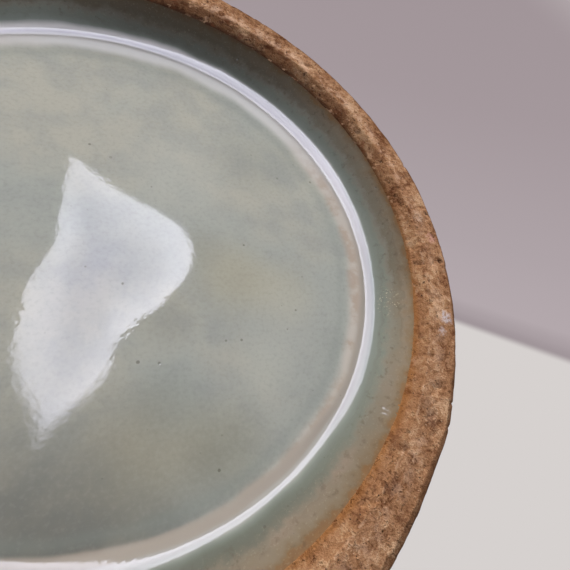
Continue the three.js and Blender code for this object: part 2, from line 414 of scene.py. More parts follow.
glaze_skin = glaze_skin_group()
fired_clay = fired_clay_group()
print("Shared groups:", glaze_skin.name, "and", fired_clay.name)

# %% Start and end a material
def new_material(name):
    """A new node material, its Nodes and its object coordinates."""
    made = bpy.data.materials.new(name)
    made.use_nodes = True
    nodes = Nodes(made.node_tree)
    return made, nodes, nodes.wire("ShaderNodeTexCoord", output="Object")


def finished(made, nodes, colour, roughness, height, relief, **uniform):
    """Feeds the Principled shader. The relief is the depth of the bump in metres."""
    normal = nodes.wire("ShaderNodeBump", {"Height": height, "Distance": relief, "Strength": 1.0})
    inputs = {"Base Color": colour, "Roughness": roughness, "Normal": normal, **uniform}
    nodes.feed(made.node_tree.nodes["Principled BSDF"], inputs)
    print("Finish:", made.name, "with", len(made.node_tree.nodes), "nodes")
    return made


# %% [markdown]
# ## The base of the well
# The flat base shows soft olive and grey-green patches and a few larger stains, which are listed one by one
# because the eye knows the base by them. The last in that list is a broad painted shadow over one side of the
# base. Towards the rim of the base disc the glaze rises in a low ridge, and the cream band on it is partly
# the pale body under thin glaze and partly a painted reflection of the warm foot ring.

# %% Soft stains on the base, and one painted shadow
# Each has a place and a reach in millimetres, a depth, and a colour.
STAINS_AND_SHADOW_IN_THE_WELL = [
    (-5.6, -43.0, 15, 0.45, 186, 178, 150), (-24.0, -9.0, 13, 0.50, 176, 170, 144),
    (-35.0, -13.0, 12, 0.40, 190, 186, 162), (-17.0, -2.0, 8, 0.35, 150, 150, 136),
    (-9.0, -19.0, 8, 0.35, 142, 144, 134), (-13.0, 17.0, 18, 0.35, 192, 194, 183),
    (-33.0, 25.0, 16, 0.35, 142, 147, 140), (-36.0, -22.0, 13, 0.30, 184, 186, 176),
    (-29.0, -30.0, 9, 0.40, 190, 194, 182), (-9.0, -35.0, 10, 0.40, 136, 144, 138),
    (-19.0, -44.0, 12, 0.40, 140, 136, 112), (-45.0, -26.0, 6, 0.20, 140, 148, 142),
    # The last, broad and nearly black one is a painted shadow over one side of the base.
    (14.0, -66.0, 46, 0.55, 20, 20, 18),
]
BASE_HEIGHT = 8 * MM


# %% Colour of the base
def base_colour(nodes, place, skin, drained, drift):
    def stains_and_shadow():
        for x, y, reach, depth, *stain_and_shade in STAINS_AND_SHADOW_IN_THE_WELL:
            spot = place.near((x * MM, y * MM, BASE_HEIGHT), reach * 0.15 * MM, reach * MM)
            yield spot * depth, *stain_and_shade

    colour = skin["Patches"].step(0.38, 0.62).mix(paint(166, 171, 163), paint(177, 177, 164))
    # Past the cream edge the cream band is partly the pale body under thin glaze and partly a painted
    # reflection of the warm foot ring: pale on the side where the glaze stayed, mottled pinkish brown on the
    # other.
    past_edge = nodes.attribute("from_cream_edge") + drift * 0.0030
    mottled = skin["Clouds"].step(0.42, 0.6).mix(paint(196, 190, 180), paint(180, 164, 148))
    cream = drained.step(0.04, 0.26).mix(paint(216, 217, 214), mottled)
    return colour.painted(
        (skin["Clouds"].step(0.36, 0.68) * 0.5, 150, 155, 150),
        *stains_and_shadow(),
        (skin["Grain"].step(0.48, 0.7, 0.0, 0.16), 126, 130, 120),
        (skin["Grain"].step(0.3, 0.52, 0.06, 0.0), 200, 204, 194),
        (past_edge.step(-0.0006, 0.0020) * 0.85, cream),
        (past_edge.band(-0.0026, -0.0008, 0.0012) * 0.3, 140, 150, 142),
    )


# %% [markdown]
# ## The wall of the well
# Past the cream band the glaze pooled in the corner to the wall: teal there, then taupe, then burnt ochre
# towards the bare ring. All of that depends on how far out a point lies, so ramps run over the radius that
# the mesh remembers from before it was made uneven. Under the bright line in the corner the ramps turn pale,
# thin glaze brightened as a painted highlight. A second attribute is 0 on the side where the glaze stayed and
# 1 where it ran off. It also lays painted shade on the side of the wall turned from the low lamp.

# %% Colours of the rings, each at a radius in millimetres
# The stops at 57.2 and 58.3 mm carry the cream band on towards the corner. The pale stops from 59.2 to 61.0
# mm lie under the bright line that mirrors the softbox: thin glaze over the pale body, brightened as a
# painted highlight.
THIN_AND_HIGHLIGHT_RINGS = [
    (57.2, 196, 193, 187), (58.3, 181, 179, 173), (59.2, 204, 202, 198), (60.4, 238, 236, 232),
    (61.0, 206, 206, 200), (61.6, 142, 150, 140),
]
WORN_AND_HIGHLIGHT_RINGS = [
    (57.2, 176, 166, 154), (58.9, 156, 152, 142), (59.5, 172, 170, 164), (60.5, 176, 178, 171),
    (61.4, 138, 147, 138),
]
WALL_RINGS = [
    (63.2, 132, 138, 126), (64.4, 145, 142, 127), (65.2, 147, 141, 123), (66.8, 158, 144, 122),
    (67.8, 152, 132, 104), (68.3, 157, 121, 84),
]


def rings(out, stops):
    return (out / FOOT_RADIUS).ramp(*((at * MM / FOOT_RADIUS, *colour) for at, *colour in stops + WALL_RINGS))


# %% Where the glaze pooled, and painted shade on the wall
def pooled_and_shaded(out, drained):
    """Share of the dark on the wall, high and low on it: thick pooled glaze, and painted shade strongest on
    the side turned from the low lamp.
    """
    high = drained.step(-0.03, 0.10, 0.60, 0.0) + drained.step(0.72, 0.95, 0.0, 0.28)
    low = drained.step(-0.03, 0.16, 0.44, 0.0) + drained.step(0.42, 0.50, 0.37, 0.18)
    share = out.step(0.0632, 0.0660).mix(high, low) + drained.step(0.58, 0.78, 0.0, 0.22)
    return share * out.step(0.0604, 0.0625)


# %% Marks on the wall
def marked_wall(nodes, colour, place, out, drained, on_wall):
    """The colour with a dull taupe band, a strip of painted reflection inside the corner, runs, dark spots
    and a cluster of tiny bright specks on the wall.
    """
    broken = place.noise(14 * MM, 3.0).step(0.35, 0.65, 0.1, 0.5) * drained.step(0.55, 0.75)
    cream_and_mirrored_strip = drained.step(0.70, 0.84, 0.0, 0.6)
    drawn_out = {"X": out * 1500.0, "Y": place.part("X") * 26.0, "Z": place.part("Y") * 26.0}
    streaks = nodes.wire("ShaderNodeCombineXYZ", drawn_out).noise(1.0, 3.0).step(0.5, 0.75)
    spots = place.noise(1.6 * MM, 3.0, 0.6).step(0.55, 0.72)
    flares = place.noise(0.5 * MM, 2.0, 0.6).step(0.60, 0.67)
    scoured = place.near((-0.0607, -0.0162, 0.0055), 0.8 * MM, 5.2 * MM) * 0.85 + 0.05
    return colour.painted(
        (out.band(0.0646, 0.0661, 0.0009) * broken, 158, 140, 124),
        (out.band(0.0571, 0.0592, 0.0004) * cream_and_mirrored_strip, 174, 166, 154),
        (streaks * on_wall * 0.25, 104, 90, 74),
        (spots * on_wall * 0.35, 84, 72, 56),
        (flares * scoured * on_wall, 226, 222, 190),
    )


# %% Celadon in the well
def well_celadon():
    made, nodes, place = new_material("celadon_in_the_well")
    skin = nodes.group(glaze_skin, {"Vector": place, "Patch Size": 0.034, "Pinhole Spacing": 0.0034})
    drained = nodes.attribute("drained")
    drift = place.noise(12 * MM, 3.0) - 0.5
    fine_drift = place.noise(2.8 * MM, 4.0, 0.6) - 0.5
    out = nodes.attribute("nominal_radius") + drift * 0.0012
    on_wall = out.step(0.0610, 0.0640)
    out = out + fine_drift * on_wall * 0.0034 + drained.step(0.66, 0.82, 0.0, 0.0005)
    base = base_colour(nodes, place, skin, drained, drift)
    wall = drained.step(0.14, 0.46).mix(rings(out, THIN_AND_HIGHLIGHT_RINGS), rings(out, WORN_AND_HIGHLIGHT_RINGS))
    # This dark colour stands for pooled glaze and for painted shade on the wall turned from the low lamp.
    colour = out.step(0.0568, 0.0584).mix(base, wall).painted((pooled_and_shaded(out, drained), 44, 36, 22))
    colour = marked_wall(nodes, colour, place, out, drained, on_wall)
    colour = colour.painted((skin["Pinholes"] * 0.6, 88, 86, 72))
    rough = skin["Clouds"].step(0.3, 0.75, 0.025, 0.045)
    return finished(made, nodes, colour, rough, skin["Waves"] - skin["Pinholes"], 0.04 * MM, IOR=1.5)


celadon_in_the_well = well_celadon()

# %% [markdown]
# ## The bare foot ring
# The iron in the bare clay came to the surface in the fire, so the ring is brown, most of all in a halo
# beside the glaze. On the side where the glaze stayed, which is turned from the low lamp, the ring's colours
# are painted darker as shade. Its crest is rubbed to the pale body in patches.
# Most of this follows the way from the glaze line. The larger holes, scuffs and burnt spots stand in two
# lists. Noise tears their edges, and the mesh sinks into the holes later.

# %% Marks on the foot ring
# Each has a place and a reach in millimetres. A scuff also has a depth and a colour.
HOLES_IN_THE_RING = [
    (-49.2, 52.4, 0.7), (-57.4, 44.9, 0.6), (-62.5, 38.0, 0.6), (-68.1, 24.0, 0.7), (-66.8, 19.3, 0.6),
    (-68.5, 16.9, 0.5), (-69.7, 12.8, 0.7), (-71.1, 10.2, 0.6), (-70.3, -13.3, 0.5), (-78.2, 7.4, 0.8),
    (-77.6, -7.4, 1.0),
]
SCUFFS_ON_THE_RING = [
    (-73.6, -22.6, 2.4, 0.55, 206, 200, 204), (-71.2, -26.0, 1.6, 0.40, 200, 192, 192),
    (-77.0, -0.3, 2.0, 0.45, 206, 160, 146), (-53.9, -51.7, 1.7, 0.55, 92, 56, 36),
    (-46.5, -55.5, 1.5, 0.55, 92, 56, 36), (-41.4, -56.7, 1.5, 0.55, 92, 56, 36),
    (-49.3, -53.9, 1.2, 0.50, 92, 56, 36), (-44.2, -55.1, 1.2, 0.50, 92, 56, 36),
    (-61.2, -45.2, 2.6, 0.45, 92, 52, 32), (-75.0, 6.1, 2.2, 0.40, 216, 190, 166),
]


# %% Colour from the glaze line outwards
def burnt_and_shaded_colour(nodes, place, clay, from_line, drained, darker_side):
    flat = clay["Tone"].ramp(
        (0.40, 108, 68, 42), (0.46, 150, 108, 76), (0.53, 178, 135, 99), (0.60, 212, 176, 140)
    )
    burnt = clay["Tone"].ramp(
        (0.40, 104, 68, 44), (0.46, 146, 104, 72), (0.53, 166, 124, 88), (0.60, 190, 154, 118)
    )
    # darker_side paints shade on the side turned from the low lamp: the halo and the flat turn darker there,
    # and the line between them moves outwards.
    burnt = burnt.painted((darker_side * 0.58, 46, 24, 10))
    flat = flat.painted((darker_side * 0.13 + 0.06, 46, 24, 10))
    arris_at = darker_side * 0.0012 + 0.0041
    colour = (from_line - arris_at).step(-0.0006, 0.0006).mix(burnt, flat)
    # There the stain by the glaze line reaches further and turns nearly black, painted shade over the orange
    # of the iron.
    stain_and_shade_reach = drained.step(0.40, 0.56, 0.0013, 0.0021) + darker_side * 0.0006
    stain_and_shade = from_line.fall(0.0003, stain_and_shade_reach)
    stained_and_shaded = drained.fall(0.10, 0.60).mix(paint(152, 102, 56), paint(44, 22, 8))
    rubbed = nodes.attribute("from_line").band(0.0039, 0.0043, 0.0003)
    rubbed = rubbed * place.noise(2.2 * MM, 3.0).step(0.45, 0.60) * drained.step(0.30, 0.45)
    crest = from_line.band(0.0054, 0.0078, 0.0012) * (darker_side * 0.3 + 0.3)
    return colour.painted(
        (stain_and_shade * (darker_side * 0.1 + 0.72), stained_and_shaded),
        (rubbed * 0.5, 214, 180, 148),
        (crest * place.noise(3.0 * MM, 4.0, 0.6).step(0.44, 0.58), 214, 182, 154),
    )


# %% Blotches, and painted shade on the outer edge
def blotched_with_shaded_edge(colour, place, from_line, drained, darker_side):
    far_side = drained.step(0.50, 0.75)
    blotch = place.noise(3.6 * MM, 4.0, 0.65).step(0.54, 0.66)
    lumps = place.vector("ADD", (0.3, 0.2, 0.1)).noise(2.6 * MM, 3.0, 0.6).step(0.57, 0.68)
    spots = place.vector("ADD", (0.1, 0.5, 0.2)).noise(5.0 * MM, 2.0).step(0.60, 0.68)
    # The dark band round the rounded outer edge is painted shade, and it reaches further in on the side where
    # the glaze ran off. The blotches also grow stronger on the darker side, as painted shade.
    edge = (from_line + drained.step(0.5, 0.85, 0.0, 0.0008)).band(0.0109, 0.0160, 0.0003)
    return colour.painted(
        (blotch * (darker_side * 0.25 + 0.45), 96, 56, 34),
        (lumps * (far_side * -0.3 + 0.45), 206, 168, 132),
        (spots * (far_side * 0.45), 96, 58, 36),
        (edge * 0.7, 84, 58, 40),
    )


# %% Scuffs and holes with torn edges
def scuffed(nodes, colour, place):
    tear = place.noise(MM / 1.5, 3.0, 0.5, "Color")
    tear = nodes.wire("ShaderNodeVectorMath", {0: tear, "Scale": 2.4 * MM}, operation="SCALE")
    strayed = place.vector("ADD", tear).vector("ADD", (-1.2 * MM, -1.2 * MM, -1.2 * MM))
    webbed = place.noise(0.8 * MM, 2.0).step(0.40, 0.56, 0.2, 1.0)
    for x, y, reach, depth, *mark in SCUFFS_ON_THE_RING:
        spot = strayed.near((x * MM, y * MM, 0.0), reach * 0.3 * MM, reach * MM)
        colour = colour.painted((spot * (webbed * (depth * 1.4)), *mark))
    for x, y, reach in HOLES_IN_THE_RING:
        hole = strayed.near((x * MM, y * MM, 0.4 * MM), reach * 0.4 * MM, reach * MM)
        colour = colour.painted((hole * 0.8, 48, 28, 14))
    return colour


# %% Biscuit of the foot ring
def biscuit_of_the_foot():
    made, nodes, place = new_material("biscuit_of_the_foot")
    clay = nodes.group(fired_clay, {"Vector": place, "Grain": 1.2 * MM})
    drained = nodes.attribute("drained")
    # darker_side is 1 on the side turned from the low lamp, where the ring's halo, flat, blotches and dark
    # flecks are painted in shade.
    darker_side = drained.fall(0.02, 0.45)
    from_line = nodes.attribute("from_line") + (place.noise(4.0 * MM, 3.0) - 0.5) * 0.0016
    colour = burnt_and_shaded_colour(nodes, place, clay, from_line, drained, darker_side)
    colour = scuffed(nodes, blotched_with_shaded_edge(colour, place, from_line, drained, darker_side), place)
    flecks = place.noise(1.1 * MM, 3.0, 0.6).step(0.60, 0.68)
    dark = nodes.math("MAXIMUM", flecks, clay["Pits"] * 0.6) * (darker_side * 0.4 + 0.45)
    colour = colour.painted((dark, 72, 44, 28))
    rough = clay["Tone"].step(0.3, 0.7, 0.92, 0.74)
    dull = {"Specular IOR Level": 0.12}
    return finished(made, nodes, colour, rough, clay["Height"] - flecks * 0.8, 0.16 * MM, **dull)


biscuit = biscuit_of_the_foot()

# %% [markdown]
# ## Celadon outside
# The picture doesn't show the outer coat, so it keeps to what the well shows. It is thin and brownish on the
# lip, and greener in the neck and over the foot, where it ran and stopped in a roll.

# %% Celadon outside
def outer_celadon():
    made, nodes, place = new_material("celadon_outside")
    skin = nodes.group(glaze_skin, {"Vector": place, "Patch Size": 0.075, "Pinhole Spacing": 0.007})
    level = place.part("Z") + (place.noise(30 * MM, 3.0) - 0.5) * 0.004
    colour = skin["Patches"].step(0.36, 0.66).mix(paint(158, 165, 153), paint(174, 173, 156))
    in_neck, at_foot = level.band(0.34, 0.40, 0.03), level.fall(0.012, 0.030)
    lip = level.step(VASE_HEIGHT - 6.5 * MM, VASE_HEIGHT - 1.2 * MM)
    colour = colour.painted(
        (skin["Clouds"].step(0.4, 0.7) * 0.45, 152, 163, 155),
        (in_neck * 0.45, 134, 150, 138),
        (at_foot * 0.6, 122, 136, 124),
        (nodes.attribute("from_edge").fall(0.0002, 0.0022), 150, 108, 66),
        (lip * 0.75, 172, 150, 122),
        (skin["Pinholes"] * 0.6, 92, 88, 70),
    )
    rough = skin["Clouds"].step(0.3, 0.75, 0.09, 0.16)
    return finished(made, nodes, colour, rough, skin["Waves"] - skin["Pinholes"], 0.06 * MM, IOR=1.5)


celadon_outside = outer_celadon()

# %% [markdown]
# ## Bare clay inside
# Past the neck the inside was never glazed. The thrown wall is a warm grey stoneware, and the luting clay on
# its seams is a little paler. Both use the fired clay group, and so do the grains that lie in the foot.

# %% Stoneware, luting clay and grains
def bare_clay(name, grain, dark, middle, light, roughness):
    made, nodes, place = new_material(name)
    clay = nodes.group(fired_clay, {"Vector": place, "Grain": grain})
    colour = clay["Tone"].ramp((0.34, *dark), (0.5, *middle), (0.66, *light))
    colour = colour.painted((clay["Specks"] * 0.6, 92, 70, 50))
    rough = clay["Tone"].step(0.3, 0.7, roughness, roughness - 0.12)
    return finished(made, nodes, colour, rough, clay["Height"], 0.2 * MM)


stoneware = bare_clay(
    "stoneware_inside", 2.2 * MM, (138, 126, 110), (163, 152, 136), (180, 170, 154), 0.95
)
luting_clay = bare_clay("luting_clay", 1.6 * MM, (158, 148, 132), (180, 171, 156), (196, 188, 174), 0.9)
iron = bare_clay("iron_specks", 0.4 * MM, (66, 42, 26), (88, 60, 40), (112, 80, 54), 0.8)
pale_grit = bare_clay("pale_grit", 0.5 * MM, (160, 126, 96), (184, 150, 118), (204, 174, 144), 0.85)

# %% [markdown]
# ## Uneven by hand
# After turning, each vertex is moved a little by its row in the outline, its angle round the axis and some
# smooth noise. The noise is sampled at the vertex's first place, so it has no seam, and its seeds are fixed.

# %% Noise and soft steps for numbers
# The angle where the glaze stayed, which is also where the well's wall and the ring's inner slope are painted
# in shade.
POOLED_AND_SHADED_ANGLE = 105


def noise_at(points, size, seed):
    """Smooth noise from about -1 to 1 at each point, with features of that size."""
    shift = Vector((seed * 17.3, seed * 5.1, seed * 9.7))
    return np.array([noise.noise(Vector(point) / size + shift) for point in points])


def drained_side(angle):
    """0 where the glaze ran down and stayed and 1 on the far side, by angle. The materials also paint shade
    by it.
    """
    return 0.5 - 0.5 * np.cos(np.radians(angle - POOLED_AND_SHADED_ANGLE))


def eased(value, low, high):
    t = np.clip((value - low) / (high - low), 0, 1)
    return t * t * (3 - 2 * t)


def remember(mesh, **values):
    """Stores numbers for the mesh's vertices, for a material or a tree to read."""
    for name, numbers in values.items():
        mesh.attributes.new(name, "FLOAT", "POINT").data.foreach_set("value", numbers.astype(np.float32))


def settle(mesh, places):
    """Moves the mesh's vertices to these places."""
    mesh.vertices.foreach_set("co", places.astype(np.float32).ravel())
    mesh.update()


# %% Where the vertices of a turned piece belong
class TurnedMesh:
    """Arrays for the vertices of a turned piece: row, radius, height, angle, place, way out of the wall."""

    def __init__(self, piece, outline):
        self.piece = piece
        mesh = piece.data
        self.place = np.array([vertex.co for vertex in mesh.vertices])
        self.row = np.array([item.value for item in mesh.attributes["row"].data])
        mesh.attributes.remove(mesh.attributes["row"])
        self.radius, self.height = outline[self.row].T
        self.angle = np.degrees(np.arctan2(self.place[:, 1], self.place[:, 0]))
        ways = np.roll(outline, -1, axis=0) - np.roll(outline, 1, axis=0)
        ways /= np.maximum(np.linalg.norm(ways, axis=1), 1e-9)[:, None]
        self.out = np.stack([ways[:, 1], -ways[:, 0]], axis=1)[self.row]

    def around(self, size, seed):
        """Noise that depends on the angle alone, with bumps of that many degrees."""
        reach = 1 / math.radians(size)
        ring = [(math.cos(a) * reach, math.sin(a) * reach, 0) for a in np.radians(np.arange(0, 360, 0.5))]
        table = noise_at(ring, 1.0, seed)
        return np.interp(self.angle % 360, np.arange(0, 360.5, 0.5), np.append(table, table[0]))

    def move(self, rise, spread=0.0):
        """Moves the wall out by rise along its outline's normal and by spread along the radius."""
        radius = self.radius + self.out[:, 0] * rise + spread
        height = self.height + self.out[:, 1] * rise
        turn = np.radians(self.angle)
        self.place = np.stack([radius * np.cos(turn), radius * np.sin(turn), height], axis=1)

    def keep_sharp(self, row):
        """Keeps the shading from running round a thin edge."""
        ends = np.empty(len(self.piece.data.edges) * 2, np.int32)
        self.piece.data.edges.foreach_get("vertices", ends)
        along = (self.row[ends.reshape(-1, 2)] == row).all(axis=1)
        sharp = self.piece.data.attributes.new("sharp_edge", "BOOLEAN", "EDGE")
        sharp.data.foreach_set("value", along)

    def keep(self, **values):
        """Writes the places into the mesh, and a value for each vertex under each name."""
        remember(self.piece.data, **values)
        settle(self.piece.data, self.place)


# %% Hand a piece to the frame
def dressed(piece, slot, *nodes):
    """Hands a finished piece to the frame, in place of its CAD nodes."""
    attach(piece, "root")
    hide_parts(*nodes)
    size = " x ".join(f"{side / MM:.1f}" for side in piece.dimensions)
    sides = sum(len(polygon.vertices) - 2 for polygon in piece.data.polygons)
    print(f"{piece.name}: {size} mm, {sides} triangles")


# %% [markdown]
# ## The foot ring
# The crest sits on the ground, the inner face falls gently to the glaze line, and the outer edge is rounded,
# with flat stretches where it was knocked. The ring is turned with rows a third of a millimetre apart where
# the picture comes close, and with coarse rows inside the vase.

# %% Turn the foot ring
RING_INSIDE = 66 * MM


def foot_step(radius, height):
    seen = radius > RING_INSIDE and height < 7.8 * MM
    return 0.36 * MM if seen else 3.0 * MM


ring_outline = softened(outlines["foot_ring"], foot_step, sharp=12)
foot_ring = turned("foot_ring_biscuit", ring_outline, biscuit, 900)
ring = TurnedMesh(foot_ring, ring_outline)
print("Foot ring rows:", len(ring_outline))

# %% Distance from the glaze line along the outline
def way_along(outline, start):
    """Length along a closed outline from the row nearest to the start point, up and down from it."""
    first = int(np.argmin(np.linalg.norm(outline - start, axis=1)))
    steps = np.linalg.norm(np.roll(outline, -1, axis=0) - outline, axis=1)
    forwards = np.concatenate([[0], np.cumsum(np.roll(steps, -first))[:-1]])
    total = steps.sum()
    along = np.where(forwards > total / 2, forwards - total, forwards)
    return np.roll(along, first)


WELL_LINE = outlines["base_glaze"][np.argmax(outlines["base_glaze"][:, 0])]
FLAT = outlines["foot_ring"][outlines["foot_ring"][:, 1] < 1e-6][:, 0]
ARRIS, FLAT_EDGE = FLAT.min(), FLAT.max()
from_line = way_along(ring_outline, WELL_LINE)[ring.row]
print(f"Glaze line at radius {WELL_LINE[0] / MM:.1f} mm, {WELL_LINE[1] / MM:.1f} mm over the ground")
print(f"The foot stands on a flat from radius {ARRIS / MM:.1f} to {FLAT_EDGE / MM:.1f} mm")

# %% Let the lines of the foot wander
# Each is an angle round the axis and how far the rim stands out there in millimetres.
RIM_KNOCKS = [
    (-180, 0.0), (-160, 0.1), (-151, 0.3), (-147, 0.6), (-144, 0.9), (-141, 0.7), (-138, 0.3), (-134, 0.4),
    (-130, 0.6), (-124, 1.0), (-118, 1.0), (-100, 0.3), (70, 0.3), (95, 1.0), (122, 0.9), (136, 0.5),
    (150, 0.2), (180, 0.0),
]


def line_wander(shape):
    """How far the glaze line strays outwards at each angle."""
    return (0.25 + 0.22 * shape.around(9, 3) + 0.16 * shape.around(2.4, 4) + 0.12 * shape.around(1.1, 9)) * MM


def rim_wander(shape):
    """How far the outer edge of the foot strays outwards at each angle, with its knocks."""
    wander = 0.10 * shape.around(11, 1) + 0.06 * shape.around(4, 2)
    return (wander + np.interp(shape.angle, *zip(*RIM_KNOCKS))) * MM


# %% Make the foot uneven
def roughen_foot(shape, along):
    seen = eased(along, 0.0, 1.2 * MM) * (1 - eased(along, 26 * MM, 30 * MM))
    lumps = 0.14 * noise_at(shape.place, 7 * MM, 5) + 0.09 * noise_at(shape.place, 2.6 * MM, 6)
    grit = 0.06 * noise_at(shape.place, 1.1 * MM, 7)
    pits = -0.30 * eased(noise_at(shape.place, 1.9 * MM, 8), 0.34, 0.6)
    rise = (lumps + grit + pits) * MM * seen
    for x, y, reach in HOLES_IN_THE_RING:
        away = np.hypot(shape.place[:, 0] - x * MM, shape.place[:, 1] - y * MM)
        rise -= 0.3 * MM * (1 - eased(away, 0.2 * reach * MM, reach * MM)) * (shape.height < 5 * MM)
    outer = eased(shape.radius, ARRIS, FLAT_EDGE)
    inner = (1 - eased(shape.radius, WELL_LINE[0], ARRIS)) * (shape.radius > RING_INSIDE)
    shape.move(rise, rim_wander(shape) * outer + line_wander(shape) * inner)
    shape.place[:, 2] = np.maximum(shape.place[:, 2], 0.0)


roughen_foot(ring, from_line)
ring.keep(from_line=from_line, drained=drained_side(ring.angle))
dressed(foot_ring, "biscuit", "foot_ring")

# %% [markdown]
# ## The glaze in the well
# The glaze rises over the rim of the base disc in a low ridge, with a fine groove inside it. Then it rounds
# the corner to the wall and thins to nothing at the glaze line. How tightly it rounds that corner sets the
# width of the bright line there, so the rounding changes with the angle. The base is not quite flat, which
# bends the edges of the softbox's reflection.

# %% Turn the glaze in the well
EVEN_BASE = 48 * MM


def well_step(radius, height):
    if radius < EVEN_BASE:
        return 3.0 * MM
    return 0.42 * MM if height < 8.05 * MM else 2.0 * MM


glaze_outline = softened(outlines["base_glaze"], well_step, closed=False, sharp=50)
well_segments = 720
well_glaze = turned("well_glaze", glaze_outline, celadon_in_the_well, well_segments, closed=False)
well = TurnedMesh(well_glaze, glaze_outline)
lowest = int(np.argmax(glaze_outline[:, 0]))
on_top = well.row < lowest if glaze_outline[0][1] < glaze_outline[-1][1] else well.row > lowest
print("Well glaze rows:", len(glaze_outline), "and its surface has", int(on_top.sum()), "vertices")

# %% Round the corner between base and wall
CORNER_RADIUS = 59.5 * MM
ROUNDINGS = [
    (-180, 12.8), (-160, 12.3), (-145, 11.8), (-139, 9.8), (-132, 6.2), (-122, 6.2), (-90, 8.5), (60, 7.6),
    (100, 7.8), (120, 9.3), (140, 10.9), (160, 12.6), (180, 12.8),
]


def rounded_corner(shape, surface):
    """Heights of the glaze with a corner that is rounded more tightly on two sides."""
    rounding = np.interp(shape.angle, *zip(*ROUNDINGS)) * MM
    floor = shape.height[surface].max()
    fall = math.atan2(floor - WELL_LINE[1], WELL_LINE[0] - CORNER_RADIUS)
    start = CORNER_RADIUS - rounding * math.tan(fall / 2)
    turn = np.arcsin(np.clip((shape.radius - start) / rounding, 0, math.sin(fall)))
    past = np.maximum(shape.radius - start - rounding * math.sin(fall), 0)
    height = floor - rounding * (1 - np.cos(turn)) - past * math.tan(fall)
    return np.where(surface & (shape.radius > EVEN_BASE), height, shape.height)


# %% Lay the ridge and the groove, and let the edge wander
def bulge(radius, centre, width):
    return np.exp(-(((radius - centre) / width) ** 2))


def band_edge(shape):
    """Where the cream band begins at each angle: it lies a little off the centre."""
    off_centre = 1 - np.cos(np.radians(shape.angle - 130))
    return (53.2 + 2.0 * off_centre + 0.5 * shape.around(22, 11) + 0.2 * shape.around(7, 12)) * MM


def shape_well(shape, surface, edge):
    radius = shape.radius
    shape.height = rounded_corner(shape, surface)
    ridge = 0.10 * bulge(radius, edge + 2.2 * MM, 1.6 * MM) - 0.04 * bulge(radius, edge, 0.5 * MM)
    flat = 0.02 * noise_at(shape.place, 34 * MM, 13) + 0.008 * noise_at(shape.place, 9 * MM, 14)
    runs = 0.05 * noise_at(shape.place * [1, 1, 0.4], 4.5 * MM, 15) * eased(radius, 61 * MM, 66 * MM)
    rise = (ridge + flat * (1 - eased(radius, 55 * MM, 60 * MM)) + runs) * MM * surface
    shape.move(rise, line_wander(shape) * eased(radius, 64.5 * MM, WELL_LINE[0]))


cream_edge = band_edge(well)
shape_well(well, on_top, cream_edge)
past_edge, drained = well.radius - cream_edge, drained_side(well.angle)
well.keep(nominal_radius=well.radius, from_cream_edge=past_edge, drained=drained)
well.keep_sharp(lowest)
dressed(well_glaze, "celadon", "base_glaze")

# %% [markdown]
# ## The outer glaze
# One coat runs from the roll over the bare foot, up the wall, over the lip and down inside to the narrowest
# part of the neck. It is turned with a faint spiral, the potter's marks under the glaze. Only the side that
# shows needs close rows.

# %% Turn the outer glaze
def coat_step(radius, height):
    if height < 10.5 * MM:
        return 0.5 * MM
    return 0.8 * MM if height > VASE_HEIGHT - 10 * MM else 3.2 * MM


coat_outline = outlines["glaze_coat"]
coat_outline = np.roll(coat_outline, -int(np.argmin(coat_outline[:, 1])), axis=0)
neck_end = int(np.argmin(np.where(coat_outline[:, 0] < 50 * MM, coat_outline[:, 1], 1.0)))
shown = softened(coat_outline[: neck_end + 1], coat_step, closed=False, sharp=60)
coat_outline = np.concatenate([shown, coat_outline[neck_end + 1 :]])
spiral = {"spiral_depth": 0.07 * MM, "spiral_pitch": 13 * MM}
outer_glaze = turned("outer_glaze", coat_outline, celadon_outside, 288, **spiral)
coat = TurnedMesh(outer_glaze, coat_outline)
from_edge = np.concatenate([[0], np.cumsum(np.linalg.norm(np.diff(shown, axis=0), axis=1))])
from_edge = np.append(from_edge, np.full(len(coat_outline) - len(shown), 1.0))[coat.row]


# %% Let the coat wander at the foot and swell a little on the wall
def shape_coat(shape, surface, along):
    swell = 0.20 * noise_at(shape.place, 70 * MM, 21) + 0.05 * noise_at(shape.place, 16 * MM, 22)
    below_lip = 1 - eased(shape.height, 0.47, VASE_HEIGHT - 12 * MM)
    rise = np.minimum(swell * MM * surface * eased(along, 2 * MM, 20 * MM) * below_lip, 0.1 * MM)
    sag = (0.8 * shape.around(24, 23) + 0.35 * shape.around(7, 24)) * MM
    shape.move(rise)
    shape.place[:, 2] -= sag * (1 - eased(shape.height, 8 * MM, 16 * MM)) * (shape.height < 30 * MM)


shape_coat(coat, coat.row < len(shown), from_edge)
coat.keep(from_edge=from_edge)
dressed(outer_glaze, "celadon", "glaze_coat")

# %% [markdown]
# ## The thrown sections and the luting clay
# Under the glaze the vase is still an assembly: a disc in the foot, two body sections, a neck and a mouth,
# with luting clay on every seam. Their bare insides keep the spiral that throwing leaves. Each is turned from
# its own outline, so the parts stay separate and meet face to face.

